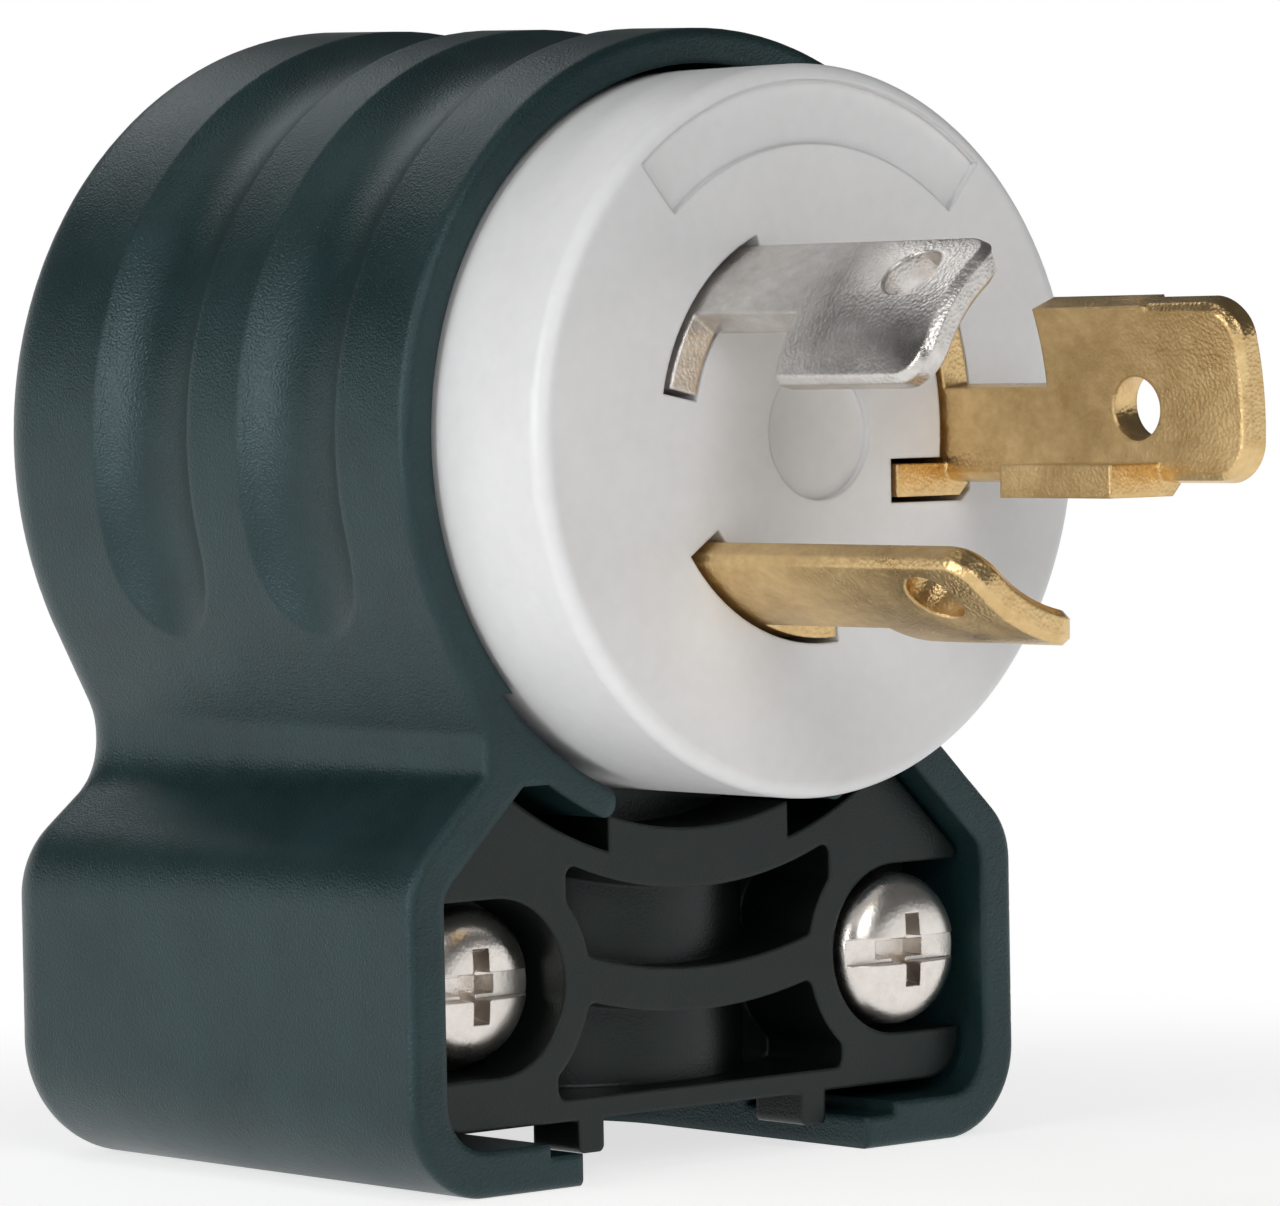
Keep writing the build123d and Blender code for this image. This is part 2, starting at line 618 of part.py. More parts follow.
# Cord clamp: a ribbed front, two screw wells, a toothed jaw behind and a tongue that keys the blade face
with BuildPart() as cord_clamp:
    inset = block_wall + clamp_clearance
    plate = block_outline(clamp_back_depth, inset, clamp_base_z, clamp_ear_fillet, base_fillet - inset)
    extrude(plate, amount=clamp_thickness)
    with BuildSketch(face_plane(clamp_back_depth)):
        Circle(clamp_top_radius)
    extrude(amount=clamp_thickness, mode=Mode.SUBTRACT)
    with BuildSketch(face_plane(clamp_back_depth)):
        Circle(clamp_top_radius + overlap)
        Circle(crown_radius, mode=Mode.SUBTRACT)
        with Locations((0, -clamp_top_radius)):
            Rectangle(2 * clamp_crown_half_width, clamp_top_radius, mode=Mode.INTERSECT)
    extrude(amount=clamp_thickness)

    # Tongue in the round moulding's groove
    with BuildSketch(face_plane(tongue_depth + tongue_thickness)):
        Circle(crown_radius + overlap)
        Circle(retaining_groove_radius + retaining_groove_clearance, mode=Mode.SUBTRACT)
        with Locations((0, -clamp_top_radius)):
            Rectangle(2 * clamp_crown_half_width, clamp_top_radius, mode=Mode.INTERSECT)
    extrude(amount=tongue_thickness)

    # Legs that drop into the outlet
    for side in (-1, 1):
        with BuildSketch(face_plane(clamp_recess + leg_depth)) as leg:
            with Locations((side * (leg_inner_x + leg_width / 2), clamp_base_z + overlap - (leg_drop + overlap) / 2)):
                RectangleRounded(leg_width, leg_drop + overlap, leg_corner)
        extrude(amount=leg_depth)

    # Jaw hollow with teeth across it
    jaw_top = -clamp_top_radius - overlap
    with BuildSketch(level_plane(clamp_base_z)):
        with Locations((0, jaw_axis_depth)):
            Circle(jaw_radius)
    extrude(amount=jaw_top - clamp_base_z, mode=Mode.SUBTRACT)
    for height in tooth_heights:
        with BuildSketch(level_plane(height - tooth_width / 2)):
            with Locations((0, jaw_axis_depth)):
                Circle(jaw_radius + tooth_root)
                Circle(jaw_radius - tooth_height, mode=Mode.SUBTRACT)
            with Locations((0, clamp_recess + clamp_thickness / 2)):
                Rectangle(2 * jaw_radius, clamp_thickness, mode=Mode.INTERSECT)
        extrude(amount=tooth_width)

    # Screw wells, open to the side walls, and the screws' holes
    for side in (-1, 1):
        with BuildSketch(face_plane(screw_seat_depth)):
            with Locations((side * screw_x, screw_z)):
                Circle(screw_well_radius)
            with Locations((side * (screw_x + screw_well_radius), screw_z)):
                Rectangle(2 * screw_well_radius, 2 * screw_well_radius)
        extrude(amount=screw_seat_depth - clamp_recess, mode=Mode.SUBTRACT)
        with BuildSketch(face_plane(clamp_back_depth)):
            with Locations((side * screw_x, screw_z)):
                Circle(screw_shank_radius + screw_hole_clearance)
        extrude(amount=clamp_thickness, mode=Mode.SUBTRACT)

    # Front pockets
    add(pocket_tool(upper_pocket_arc, bar_arc, upper_pocket_half_width, clamp_base_z), mode=Mode.SUBTRACT)
    pocket_base_z = base_z + lower_pocket_lift
    add(pocket_tool(lower_pocket_arc, -base_z, lower_pocket_half_width, pocket_base_z), mode=Mode.SUBTRACT)

finish(cord_clamp.part, "cord_clamp")
finish(housing.part, "housing")

# Clamp screws and the square nuts that they pull on
for name, side, back_off in (("left", -1, 0), ("right", 1, right_screw_back_off)):
    x = side * screw_x
    head_y = rim_y + screw_seat_depth - back_off
    seat = Plane(origin=(x, head_y, axis_height + screw_z), x_dir=(1, 0, 0), z_dir=(0, -1, 0))
    clamp_screw = build_pan_screw(seat, screw_head_radius, screw_head_rim, screw_head_height,
                                  screw_shank_radius, screw_length)
    finish(clamp_screw, f"{name}_clamp_screw")
    with BuildPart() as clamp_nut:
        with BuildSketch(face_plane(nut_depth + nut_thickness)):
            with Locations((x, screw_z)):
                Rectangle(nut_width, nut_width)
                Circle(screw_shank_radius + thread_clearance, mode=Mode.SUBTRACT)
        extrude(amount=nut_thickness)
    finish(clamp_nut.part, f"{name}_clamp_nut")
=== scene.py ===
from math import cos, pi, radians, sin

import bpy
from mathutils import Matrix, Vector


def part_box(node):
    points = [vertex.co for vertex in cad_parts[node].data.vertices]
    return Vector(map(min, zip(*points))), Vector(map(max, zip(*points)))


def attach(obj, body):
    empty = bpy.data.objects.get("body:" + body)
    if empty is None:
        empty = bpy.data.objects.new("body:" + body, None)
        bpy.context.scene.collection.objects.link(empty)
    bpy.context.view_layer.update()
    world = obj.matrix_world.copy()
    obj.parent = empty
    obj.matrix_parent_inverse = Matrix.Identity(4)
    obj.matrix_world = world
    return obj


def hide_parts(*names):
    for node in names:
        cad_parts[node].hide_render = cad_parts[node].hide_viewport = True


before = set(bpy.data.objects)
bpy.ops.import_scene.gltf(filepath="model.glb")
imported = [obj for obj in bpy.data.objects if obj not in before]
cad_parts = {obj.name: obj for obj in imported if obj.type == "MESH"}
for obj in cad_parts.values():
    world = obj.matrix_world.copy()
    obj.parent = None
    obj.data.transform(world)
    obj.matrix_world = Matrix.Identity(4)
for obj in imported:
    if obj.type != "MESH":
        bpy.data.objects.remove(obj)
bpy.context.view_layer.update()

millimetre = 0.001
rim_y = -1.6 * millimetre
axis_height = 31.9 * millimetre
camera_azimuth = radians(-41.34)
camera_elevation = radians(2.249)
camera_roll = radians(-1.025)
camera_distance = 278.4 * millimetre
camera_aim = Vector((-4.51 * millimetre, rim_y, axis_height - 7.23 * millimetre))
camera_nearest = 10 * millimetre
sensor_width = 36
focal_length = 183.17

towards_camera = Vector((
    sin(camera_azimuth) * cos(camera_elevation),
    -cos(camera_azimuth) * cos(camera_elevation),
    sin(camera_elevation),
))
camera_right = Vector((cos(camera_azimuth), sin(camera_azimuth), 0))
camera_up = towards_camera.cross(camera_right)
turned_right = camera_right * cos(camera_roll) + camera_up * sin(camera_roll)
turned_up = camera_up * cos(camera_roll) - camera_right * sin(camera_roll)
camera_turn = Matrix((turned_right, turned_up, towards_camera)).transposed().to_4x4()
camera_place = Matrix.Translation(camera_aim + towards_camera * camera_distance)

camera_data = bpy.data.cameras.new("camera")
camera_data.sensor_fit = "HORIZONTAL"
camera_data.sensor_width = sensor_width
camera_data.lens = focal_length
camera_data.clip_start = camera_nearest
camera = bpy.data.objects.new("camera", camera_data)
camera.matrix_world = camera_place @ camera_turn
bpy.context.scene.collection.objects.link(camera)
bpy.context.scene.camera = camera
bpy.context.scene.view_settings.view_transform = "Standard"


# Floor and daylight.
# A pale studio floor that keeps the plug's shadow, a low white backdrop round the right and the
# back, and large soft lamps: on the left, in front, above, and high behind.
def open_material(name):
    """New node material with its output node alone in its tree."""
    material = bpy.data.materials.new(name)
    material.use_nodes = True
    tree = material.node_tree
    tree.nodes.clear()
    return material, tree, tree.nodes.new("ShaderNodeOutputMaterial")


def add_math(tree, operation, first, second):
    """Math node on two numbers or sockets; gives its output."""
    node = tree.nodes.new("ShaderNodeMath")
    node.operation = operation
    for socket, value in zip(node.inputs, (first, second)):
        if isinstance(value, (int, float)):
            socket.default_value = value
        else:
            tree.links.new(value, socket)
    return node.outputs[0]


def seen_directly(tree):
    """1 where the camera, a reflection or a view through glass looks, and 0 for plain light."""
    path = tree.nodes.new("ShaderNodeLightPath")
    seen = add_math(tree, "MAXIMUM", path.outputs["Is Camera Ray"], path.outputs["Is Glossy Ray"])
    return add_math(tree, "MAXIMUM", seen, path.outputs["Is Transmission Ray"])


def white_away_from_plug(tree, near_white, fade_from, fade_width):
    """Share of plain white: a little near the plug, and all of it farther off."""
    place = tree.nodes.new("ShaderNodeTexCoord")
    away = tree.nodes.new("ShaderNodeVectorMath")
    away.operation = "LENGTH"
    tree.links.new(place.outputs["Object"], away.inputs[0])
    fade = tree.nodes.new("ShaderNodeMapRange")
    fade.interpolation_type = "SMOOTHSTEP"
    fade.inputs["From Min"].default_value = fade_from
    fade.inputs["From Max"].default_value = fade_from + fade_width
    fade.inputs["To Min"].default_value = near_white
    tree.links.new(away.outputs["Value"], fade.inputs["Value"])
    return fade.outputs["Result"]


def studio_paper(name, grey, lift_strength, fade=None):
    """Matt paper that looks white. A fade keeps its own grey, a little lifted, near the plug."""
    material, tree, output = open_material(name)
    link = tree.links.new
    paper = tree.nodes.new("ShaderNodeBsdfDiffuse")
    paper.inputs["Color"].default_value = (grey, grey, grey, 1)
    lift = tree.nodes.new("ShaderNodeEmission")
    lift.inputs["Strength"].default_value = lift_strength
    lifted = tree.nodes.new("ShaderNodeAddShader")
    link(paper.outputs[0], lifted.inputs[0])
    link(lift.outputs[0], lifted.inputs[1])
    white = tree.nodes.new("ShaderNodeEmission")
    blend = tree.nodes.new("ShaderNodeMixShader")
    link(lifted.outputs[0], blend.inputs[1])
    link(white.outputs[0], blend.inputs[2])
    link(blend.outputs[0], output.inputs["Surface"])
    white_share = seen_directly(tree)
    if fade is not None:
        white_share = add_math(tree, "MULTIPLY", white_away_from_plug(tree, **fade), white_share)
    link(white_share, blend.inputs["Fac"])
    return material


def studio_sheet(name, points, faces, material):
    """Sheet of the studio, not part of the plug."""
    sheet_mesh = bpy.data.meshes.new(name)
    sheet_mesh.from_pydata(points, [], faces)
    sheet_mesh.materials.append(material)
    sheet = bpy.data.objects.new(name, sheet_mesh)
    bpy.context.scene.collection.objects.link(sheet)


floor_reach = 1.6
floor_level = -0.02 * millimetre
floor_fade = {"near_white": 0.4, "fade_from": 34 * millimetre, "fade_width": 45 * millimetre}
floor_paper = studio_paper("floor_paper", grey=0.86, lift_strength=0.5, fade=floor_fade)
floor_signs = ((-1, -1), (1, -1), (1, 1), (-1, 1))
floor_corners = [(x * floor_reach, y * floor_reach, floor_level) for x, y in floor_signs]
studio_sheet("floor", floor_corners, [(0, 1, 2, 3)], floor_paper)

backdrop_radius = 1.3
backdrop_heights = (0.20, 0.34)
backdrop_span = (-70, 150)
backdrop_steps = 30
backdrop_paper = studio_paper("backdrop_paper", grey=0.84, lift_strength=0.0)
backdrop_points = []
for step in range(backdrop_steps + 1):
    share = step / backdrop_steps
    angle = radians(backdrop_span[0] + (backdrop_span[1] - backdrop_span[0]) * share)
    x = backdrop_radius * cos(angle)
    y = backdrop_radius * sin(angle)
    top = backdrop_heights[0] + (backdrop_heights[1] - backdrop_heights[0]) * share
    backdrop_points += [(x, y, floor_level), (x, y, top)]
backdrop_faces = [(low, low + 1, low + 3, low + 2) for low in range(0, 2 * backdrop_steps, 2)]
studio_sheet("backdrop", backdrop_points, backdrop_faces, backdrop_paper)

sky_strength = 0.09
world = bpy.data.worlds.new("studio")
bpy.context.scene.world = world
world.use_nodes = True
sky = world.node_tree.nodes["Background"]
sky.inputs["Color"].default_value = (1, 1, 1, 1)
sky.inputs["Strength"].default_value = sky_strength

lamps = (
    ("left_softbox", (-0.63, 0.0, 0.16), (0.30, 0.42), 2.0),
    ("front_softbox", (-0.30, -0.72, 0.42), (0.45, 0.45), 2.4),
    ("overhead_softbox", (-0.23, 0.11, 0.68), (0.22, 0.22), 0.35),
    ("rear_softbox", (0.12, 0.70, 0.60), (0.42, 0.22), 0.6),
)
for name, spot, (width, height), power in lamps:
    lamp_data = bpy.data.lights.new(name, "AREA")
    lamp_data.shape = "RECTANGLE"
    lamp_data.size = width
    lamp_data.size_y = height
    lamp_data.energy = power
    lamp = bpy.data.objects.new(name, lamp_data)
    lamp.location = spot
    aim = Vector(spot) - Vector((0, 0, axis_height))
    lamp.rotation_euler = aim.to_track_quat("Z", "Y").to_euler()
    bpy.context.scene.collection.objects.link(lamp)


# Housing.
# The ribbed shell, injection moulded in glass-filled black nylon in one piece with the square
# block below. Its skin is evenly spark-eroded, so it looks matt and finely grained.
def add_noise(tree, place, scale, detail, roughness=0.5):
    """Noise on the given coordinates; gives its factor."""
    noise = tree.nodes.new("ShaderNodeTexNoise")
    noise.inputs["Scale"].default_value = scale
    noise.inputs["Detail"].default_value = detail
    noise.inputs["Roughness"].default_value = roughness
    tree.links.new(place, noise.inputs["Vector"])
    return noise.outputs["Fac"]


def mix_patterns(tree, first, second, second_share):
    """Two patterns laid over each other."""
    first_part = add_math(tree, "MULTIPLY", first, 1 - second_share)
    return add_math(tree, "ADD", first_part, add_math(tree, "MULTIPLY", second, second_share))


def add_shades(tree, pattern, dark, light, ends):
    """Colour that goes from dark to light between two values of the pattern."""
    ramp = tree.nodes.new("ShaderNodeValToRGB")
    for element, position, colour in zip(ramp.color_ramp.elements, ends, (dark, light)):
        element.position = position
        element.color = (*colour, 1)
    tree.links.new(pattern, ramp.inputs["Fac"])
    return ramp.outputs["Color"]


def add_roughness(tree, pattern, middle, swing):
    """Roughness that goes by the swing to either side of its middle as the pattern does."""
    pattern_low, pattern_high = 0.3, 0.7
    spread = tree.nodes.new("ShaderNodeMapRange")
    spread.inputs["From Min"].default_value = pattern_low
    spread.inputs["From Max"].default_value = pattern_high
    spread.inputs["To Min"].default_value = middle - swing
    spread.inputs["To Max"].default_value = middle + swing
    tree.links.new(pattern, spread.inputs["Value"])
    return spread.outputs["Result"]


rounding_samples = 6


def rounded_edges(tree, radius):
    """Normal that turns the light as edges rounded to a small radius would."""
    rounding = tree.nodes.new("ShaderNodeBevel")
    rounding.samples = rounding_samples
    rounding.inputs["Radius"].default_value = radius
    return rounding.outputs["Normal"]


def add_bump(tree, pattern, strength, depth, normal):
    """Pattern pressed into a surface that has the given normal; gives the new normal."""
    bump = tree.nodes.new("ShaderNodeBump")
    bump.inputs["Strength"].default_value = strength
    bump.inputs["Distance"].default_value = depth
    tree.links.new(pattern, bump.inputs["Height"])
    tree.links.new(normal, bump.inputs["Normal"])
    return bump.outputs["Normal"]


def finish_material(tree, output, colour, roughness, normal):
    """Principled shader with the three sockets linked to it and to the output; gives its node."""
    shader = tree.nodes.new("ShaderNodeBsdfPrincipled")
    tree.links.new(colour, shader.inputs["Base Color"])
    tree.links.new(roughness, shader.inputs["Roughness"])
    tree.links.new(normal, shader.inputs["Normal"])
    tree.links.new(shader.outputs[0], output.inputs["Surface"])
    return shader


def grained_plastic(name, dark, light, roughness, grain_scale, grain_depth, wave_depth,
                    edge_radius, sheen=(1, 1, 1), shine=0.5):
    """Moulded plastic: mottled colour, a fine grain on slow waves, and a slightly uneven gloss."""
    material, tree, output = open_material(name)
    place = tree.nodes.new("ShaderNodeTexCoord").outputs["Object"]
    mottle = add_noise(tree, place, scale=260, detail=5, roughness=0.62)
    grain = add_noise(tree, place, scale=grain_scale, detail=2)
    cloud = add_noise(tree, place, scale=70, detail=2)

    pattern = mix_patterns(tree, mottle, grain, second_share=0.4)
    colour = add_shades(tree, pattern, dark, light, ends=(0.36, 0.64))
    gloss = add_roughness(tree, cloud, roughness, swing=0.07)
    normal = rounded_edges(tree, edge_radius)
    normal = add_bump(tree, mottle, strength=0.5, depth=wave_depth, normal=normal)
    normal = add_bump(tree, grain, strength=0.6, depth=grain_depth, normal=normal)
    shader = finish_material(tree, output, colour, gloss, normal)
    shader.inputs["Specular Tint"].default_value = (*sheen, 1)
    shader.inputs["Specular IOR Level"].default_value = shine
    return material


def dress(node, material):
    """Gives a CAD piece its finish."""
    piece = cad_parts[node]
    if not piece.material_slots:
        piece.data.materials.append(material)
    for slot in piece.material_slots:
        slot.material = material


black_nylon = grained_plastic(
    "black_nylon", dark=(0.005, 0.0155, 0.017), light=(0.011, 0.030, 0.032), roughness=0.36,
    grain_scale=9000, grain_depth=0.06 * millimetre, wave_depth=0.05 * millimetre,
    edge_radius=0.5 * millimetre, sheen=(0.74, 0.94, 1.0))
dress("housing", black_nylon)


# Cord clamp.
# The ribbed front and jaw that two screws pull onto the cord, moulded in the same nylon as the
# shell.
# Its colour is painted far darker and a little less blue than the shell's, as painted shade for
# the recess it sits in and its deep pockets; it is also a little flatter.
clamp_nylon_painted_shade = grained_plastic(
    "clamp_nylon_painted_shade", dark=(0.003, 0.0048, 0.0044), light=(0.007, 0.0096, 0.0088), roughness=0.34,
    grain_scale=9000, grain_depth=0.03 * millimetre, wave_depth=0.03 * millimetre,
    edge_radius=0.25 * millimetre, sheen=(0.85, 0.97, 0.95), shine=0.4)
dress("cord_clamp", clamp_nylon_painted_shade)


# Blade face.
# The round white nylon moulding that the three blades stand in, smooth and slightly waxy.
# Its arc-shaped panel and its round badge recess are left bare.
white_nylon = grained_plastic(
    "white_nylon", dark=(0.75, 0.75, 0.755), light=(0.79, 0.79, 0.795), roughness=0.42,
    grain_scale=1500, grain_depth=0.012 * millimetre, wave_depth=0.02 * millimetre,
    edge_radius=0.2 * millimetre)
dress("face_body", white_nylon)


# Terminal body.
# The moulding behind the blade face, which traps the blades' tails, in uncoloured nylon.
# The housing hides all of it.
ivory_nylon = grained_plastic(
    "ivory_nylon", dark=(0.62, 0.57, 0.46), light=(0.70, 0.65, 0.54), roughness=0.5,
    grain_scale=1500, grain_depth=0.015 * millimetre, wave_depth=0.02 * millimetre,
    edge_radius=0.2 * millimetre)
dress("terminal_body", ivory_nylon)


# Blades.
# Stamped and rolled from strip: solid brass for the line and ground blades, and brass under a
# bright nickel plate for the neutral one. The strip keeps fine rolling marks and tumbling dents.
rolling_scale = (1900, 1300, 1900)


def rolled_metal(name, dark, light, roughness, dent_depth, dent_scale, edge_radius):
    """Bare or plated strip: blotchy tarnish, fine rolling marks, and small tumbling dents."""
    material, tree, output = open_material(name)
    place = tree.nodes.new("ShaderNodeTexCoord").outputs["Object"]
    along_blade = tree.nodes.new("ShaderNodeMapping")
    along_blade.inputs["Scale"].default_value = rolling_scale
    tree.links.new(place, along_blade.inputs["Vector"])
    marks = add_noise(tree, along_blade.outputs["Vector"], scale=1, detail=4, roughness=0.6)
    blotches = add_noise(tree, place, scale=380, detail=4)
    dents = tree.nodes.new("ShaderNodeTexVoronoi")
    dents.inputs["Scale"].default_value = dent_scale
    tree.links.new(place, dents.inputs["Vector"])

    tarnish = mix_patterns(tree, blotches, marks, second_share=0.45)
    colour = add_shades(tree, tarnish, dark, light, ends=(0.35, 0.65))
    gloss = add_roughness(tree, blotches, roughness, swing=0.08)
    normal = rounded_edges(tree, edge_radius)
    normal = add_bump(tree, marks, strength=0.5, depth=0.5 * dent_depth, normal=normal)
    normal = add_bump(tree, dents.outputs["Distance"], strength=0.5, depth=dent_depth,
                      normal=normal)
    shader = finish_material(tree, output, colour, gloss, normal)
    shader.inputs["Metallic"].default_value = 1.0
    return material


brass = rolled_metal(
    "brass", dark=(0.61, 0.41, 0.18), light=(0.86, 0.63, 0.32), roughness=0.33,
    dent_depth=0.035 * millimetre, dent_scale=6000, edge_radius=0.22 * millimetre)
nickel = rolled_metal(
    "nickel_plate", dark=(0.59, 0.56, 0.53), light=(0.82, 0.79, 0.76), roughness=0.33,
    dent_depth=0.025 * millimetre, dent_scale=6000, edge_radius=0.22 * millimetre)
dress("line_blade", brass)
dress("ground_blade", brass)
dress("neutral_blade", nickel)


# Pressure plates and nuts.
# A punched plate under each terminal screw, in its blade's metal, and the square nuts that the
# clamp screws pull on, in zinc-plated steel. The housing's posts keep the nuts from turning.
zinc = rolled_metal(
    "zinc", dark=(0.42, 0.43, 0.44), light=(0.56, 0.57, 0.58), roughness=0.4,
    dent_depth=0.03 * millimetre, dent_scale=900, edge_radius=0.15 * millimetre)
for side in ("left", "right"):
    dress(f"{side}_clamp_nut", zinc)
for name, metal in (("neutral", nickel), ("line", brass), ("ground", brass)):
    dress(f"{name}_clamp_plate", metal)


# Screws.
# Pan heads with a slot and a cross, cold headed and thread rolled from wire, then plated. Two
# pull the clamp, three join the two round mouldings and three hold the wires, each of those in
# its terminal's colour: white metal, brass and green.
bright_steel = rolled_metal(
    "bright_steel", dark=(0.74, 0.69, 0.64), light=(0.90, 0.85, 0.80), roughness=0.28,
    dent_depth=0.01 * millimetre, dent_scale=5000, edge_radius=0.1 * millimetre)
green_steel = rolled_metal(
    "green_steel", dark=(0.05, 0.22, 0.09), light=(0.09, 0.32, 0.14), roughness=0.4,
    dent_depth=0.02 * millimetre, dent_scale=1200, edge_radius=0.15 * millimetre)

size_labels = (
    "Head radius", "Head rim", "Head height", "Shank radius", "Shank length", "Thread pitch",
    "Thread depth", "Slot width", "Slot sink", "Cross span", "Cross width", "Cross sink",
    "Core span",
)
screw_tree = bpy.data.node_groups.new("pan_screw", "GeometryNodeTree")
screw_tree.is_modifier = True
screw_sockets = screw_tree.interface
screw_sockets.new_socket(name="Screw", in_out="OUTPUT", socket_type="NodeSocketGeometry")
screw_inputs = {}
for label in size_labels:
    socket = screw_sockets.new_socket(name=label, in_out="INPUT", socket_type="NodeSocketFloat")
    screw_inputs[label] = socket.identifier
socket = screw_sockets.new_socket(name="Finish", in_out="INPUT",
                                  socket_type="NodeSocketMaterial")
screw_inputs["Finish"] = socket.identifier
given = screw_tree.nodes.new("NodeGroupInput").outputs
made = screw_tree.nodes.new("NodeGroupOutput")


def fill_socket(socket, value):
    """Links a socket of the screw's tree, or sets its value."""
    if isinstance(value, bpy.types.NodeSocket):
        screw_tree.links.new(value, socket)
    else:
        socket.default_value = value


def screw_node(kind, **values):
    """Node of the screw's tree with its inputs filled by name."""
    node = screw_tree.nodes.new(kind)
    for label, value in values.items():
        fill_socket(node.inputs[label.replace("_", " ")], value)
    return node


def screw_math(operation, *values):
    """Math node of the screw's tree; gives its output."""
    node = screw_tree.nodes.new("ShaderNodeMath")
    node.operation = operation
    for socket, value in zip(node.inputs, values):
        fill_socket(socket, value)
    return node.outputs[0]


def point_place():
    """Sockets X, Y and Z of each point's place."""
    position = screw_node("GeometryNodeInputPosition").outputs[0]
    return screw_node("ShaderNodeSeparateXYZ", Vector=position).outputs


def move_points(mesh, x, y, z):
    """Mesh with each point moved to a new place."""
    place = screw_node("ShaderNodeCombineXYZ", X=x, Y=y, Z=z).outputs[0]
    return screw_node("GeometryNodeSetPosition", Geometry=mesh, Position=place).outputs[0]


# Head: a disc whose top is raised to a flat crown with round shoulders
head_sides = 72
head_rings = 14
crown_power = 3.5
smallest_share = 0.0001
disc = screw_node("GeometryNodeMeshCylinder", Vertices=head_sides, Side_Segments=1,
                  Fill_Segments=head_rings, Radius=given["Head radius"],
                  Depth=given["Head height"])
disc.fill_type = "TRIANGLE_FAN"
point = point_place()
from_axis = screw_math("SQRT", screw_math(
    "ADD", screw_math("POWER", point["X"], 2.0), screw_math("POWER", point["Y"], 2.0)))
share = screw_math("MINIMUM", screw_math("DIVIDE", from_axis, given["Head radius"]), 1.0)
spread_share = screw_math("SINE", screw_math("MULTIPLY", share, pi / 2))
outward = screw_math("DIVIDE", spread_share, screw_math("MAXIMUM", share, smallest_share))
fall = screw_math("POWER", screw_math("MINIMUM", spread_share, 1.0), crown_power)
crown_share = screw_math("SQRT", screw_math(
    "MAXIMUM", screw_math("SUBTRACT", 1.0, fall), 0.0))
crown_rise = screw_math("SUBTRACT", given["Head height"], given["Head rim"])
crown = screw_math("ADD", given["Head rim"], screw_math("MULTIPLY", crown_rise, crown_share))
on_top = screw_math("GREATER_THAN", point["Z"], 0.0)
head = move_points(
    disc.outputs["Mesh"], screw_math("MULTIPLY", point["X"], outward),
    screw_math("MULTIPLY", point["Y"], outward), screw_math("MULTIPLY", crown, on_top))


def recess(length, width, sink, taper, turned=0.0):
    """Cutter for one groove of the head: a block that narrows downwards from the head's top."""
    size = screw_node("ShaderNodeCombineXYZ", X=length, Y=width,
                      Z=screw_math("MULTIPLY", sink, 2.0))
    block = screw_node("GeometryNodeMeshCube", Size=size.outputs[0])
    corner = point_place()
    low = screw_math("LESS_THAN", corner["Z"], 0.0)
    narrow = screw_math("SUBTRACT", 1.0, screw_math("MULTIPLY", low, taper))
    shaped = move_points(
        block.outputs["Mesh"], screw_math("MULTIPLY", corner["X"], narrow),
        screw_math("MULTIPLY", corner["Y"], narrow),
        screw_math("ADD", corner["Z"], given["Head height"]))
    return screw_node("GeometryNodeTransform", Geometry=shaped,
                      Rotation=(0, 0, turned)).outputs[0]


cross_taper = 0.42
core_taper = 0.6
slot_reach = screw_math("MULTIPLY", given["Head radius"], 3.0)
cut_head = screw_tree.nodes.new("GeometryNodeMeshBoolean")
cut_head.operation = "DIFFERENCE"
cut_head.solver = "EXACT"
screw_tree.links.new(head, cut_head.inputs["Mesh 1"])
for cutter in (
    recess(slot_reach, given["Slot width"], given["Slot sink"], taper=0.0),
    recess(given["Cross span"], given["Cross width"], given["Cross sink"], cross_taper),
    recess(given["Cross width"], given["Cross span"], given["Cross sink"], cross_taper),
    recess(given["Core span"], given["Core span"], given["Cross sink"], core_taper,
           turned=pi / 4),
):
    screw_tree.links.new(cutter, cut_head.inputs["Mesh 2"])
cut_head.inputs["Self Intersection"].default_value = True

# Shank: a sheet rolled into a tube, its radius raised by the thread's ridge as it climbs
shank_columns = 37
shank_rows = 170
end_share = 0.001
merge_distance = 0.002 * millimetre
sheet = screw_node("GeometryNodeMeshGrid", Size_X=1.0, Size_Y=1.0, Vertices_X=shank_columns,
                   Vertices_Y=shank_rows)
point = point_place()
around = screw_math("ADD", point["X"], 0.5)
climb = screw_math("ADD", point["Y"], 0.5)
from_tip = screw_math("MULTIPLY", climb, given["Shank length"])
level = screw_math("SUBTRACT", from_tip, given["Shank length"])
phase = screw_math("SUBTRACT", screw_math("DIVIDE", level, given["Thread pitch"]), around)
ridge = screw_math("MULTIPLY", screw_math("PINGPONG", phase, 0.5), 2.0)
fade_in = screw_math("MINIMUM", screw_math("DIVIDE", from_tip, given["Thread pitch"]), 1.0)
below_head = screw_math("MULTIPLY", level, -1.0)
fade_out = screw_math("MINIMUM", screw_math("DIVIDE", below_head, given["Thread pitch"]), 1.0)
ridge_share = screw_math("MULTIPLY", ridge, screw_math("MULTIPLY", fade_in, fade_out))
root = screw_math("SUBTRACT", given["Shank radius"], given["Thread depth"])
threaded = screw_math("ADD", root, screw_math("MULTIPLY", given["Thread depth"], ridge_share))
between_ends = screw_math("MULTIPLY", screw_math("GREATER_THAN", climb, end_share),
                          screw_math("LESS_THAN", climb, 1 - end_share))
reach = screw_math("MULTIPLY", threaded, between_ends)
turn = screw_math("MULTIPLY", around, 2 * pi)
rolled = move_points(
    sheet.outputs["Mesh"], screw_math("MULTIPLY", reach, screw_math("COSINE", turn)),
    screw_math("MULTIPLY", reach, screw_math("SINE", turn)), level)
shank = screw_node("GeometryNodeMergeByDistance", Geometry=rolled, Distance=merge_distance)

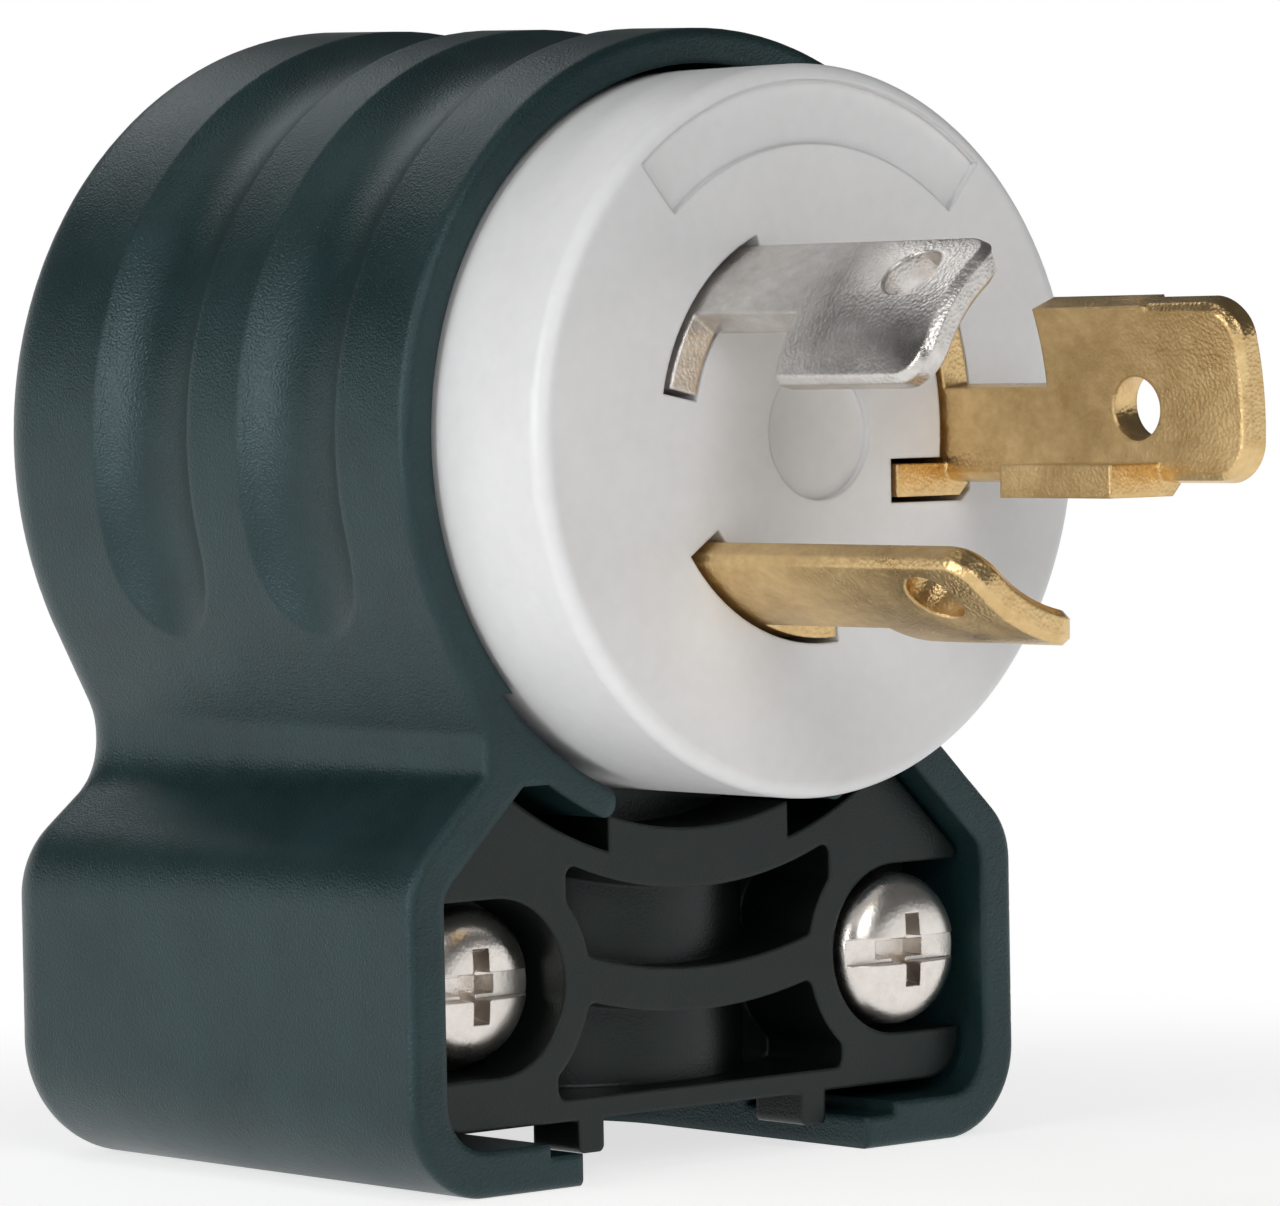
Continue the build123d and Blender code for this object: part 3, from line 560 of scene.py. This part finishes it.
whole = screw_tree.nodes.new("GeometryNodeJoinGeometry")
screw_tree.links.new(shank.outputs[0], whole.inputs[0])
screw_tree.links.new(cut_head.outputs["Mesh"], whole.inputs[0])
real = screw_node("GeometryNodeRealizeInstances", Geometry=whole.outputs[0])
finished = screw_node("GeometryNodeSetMaterial", Geometry=real.outputs[0],
                      Material=given["Finish"])
screw_tree.links.new(finished.outputs[0], made.inputs[0])

# Sizes in millimetres, and the recess as shares of the head's radius and height
screw_sizes = {
    "clamp": {"Head radius": 3.4, "Head rim": 0.9, "Head height": 2.4, "Shank radius": 1.7},
    "terminal": {"Head radius": 3.0, "Head rim": 0.8, "Head height": 1.9, "Shank radius": 1.7},
    "body": {"Head radius": 2.3, "Head rim": 0.6, "Head height": 1.6, "Shank radius": 1.25},
}
thread_sizes = {"Thread pitch": 0.8, "Thread depth": 0.26}
width_shares = {"Slot width": 0.34, "Cross span": 1.22, "Cross width": 0.33, "Core span": 0.66}
sink_shares = {"Slot sink": 0.40, "Cross sink": 0.84}
crease_angle = radians(38)


def add_screw(name, kind, length, seat, facing, slot_line, finish):
    """Screw with its head's underside at seat, in millimetres, standing in for its CAD solid."""
    sizes = {**screw_sizes[kind], **thread_sizes, "Shank length": length}
    for label, share in width_shares.items():
        sizes[label] = share * sizes["Head radius"]
    for label, share in sink_shares.items():
        sizes[label] = share * sizes["Head height"]
    holder = bpy.data.objects.new(f"{name}_finished", bpy.data.meshes.new(name))
    bpy.context.scene.collection.objects.link(holder)
    modifier = holder.modifiers.new("screw", "NODES")
    modifier.node_group = screw_tree
    for label, size in sizes.items():
        modifier[screw_inputs[label]] = size * millimetre
    modifier[screw_inputs["Finish"]] = finish
    bpy.context.view_layer.update()
    evaluated = holder.evaluated_get(bpy.context.evaluated_depsgraph_get())
    plain = bpy.data.meshes.new_from_object(evaluated)
    holder.modifiers.clear()
    holder.data = plain
    up = Vector(facing).normalized()
    along_slot = Vector(slot_line).normalized()
    placing = Matrix((along_slot, up.cross(along_slot), up)).transposed().to_4x4()
    placing.translation = Vector(seat) * millimetre
    plain.transform(placing)
    plain.shade_smooth()
    plain.set_sharp_from_angle(angle=crease_angle)
    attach(holder, "root")
    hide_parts(name)


# Clamp screws; the right one is backed out a little, as in use
clamp_spread = 11.61
clamp_level = 8.6
clamp_shank = 14.0
clamp_seat = rim_y / millimetre + 4.9
for side, sign, back_off in (("left", -1, 0), ("right", 1, 2.2)):
    add_screw(f"{side}_clamp_screw", "clamp", clamp_shank,
              (sign * clamp_spread, clamp_seat - back_off, clamp_level), (0, -1, 0), (1, 0, 0),
              bright_steel)

# Terminal screws, on the middle of each blade's foot
terminal_shank = 6.4
terminal_reach = 10.05
terminal_middle = Vector((0, rim_y / millimetre + 9.4, axis_height / millimetre))
for name, station, finish, finish_slot in (
    ("neutral", 140.5, nickel, "nickel_plate"),
    ("line", -115.0, brass, "brass"),
    ("ground", 4.5, green_steel, "green_steel"),
):
    out = Vector((cos(radians(station)), 0, sin(radians(station))))
    add_screw(f"{name}_terminal_screw", "terminal", terminal_shank,
              terminal_middle + out * terminal_reach, out, (0, 1, 0), finish)

# Screws of the two round mouldings, driven from behind
body_seat = rim_y / millimetre + 14.2
for name in ("upper", "left", "right"):
    low, high = (Vector(corner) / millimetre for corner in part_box(f"{name}_body_screw"))
    middle = (low + high) / 2
    add_screw(f"{name}_body_screw", "body", body_seat - low.y, (middle.x, body_seat, middle.z),
              (0, 1, 0), (1, 0, 0), zinc)
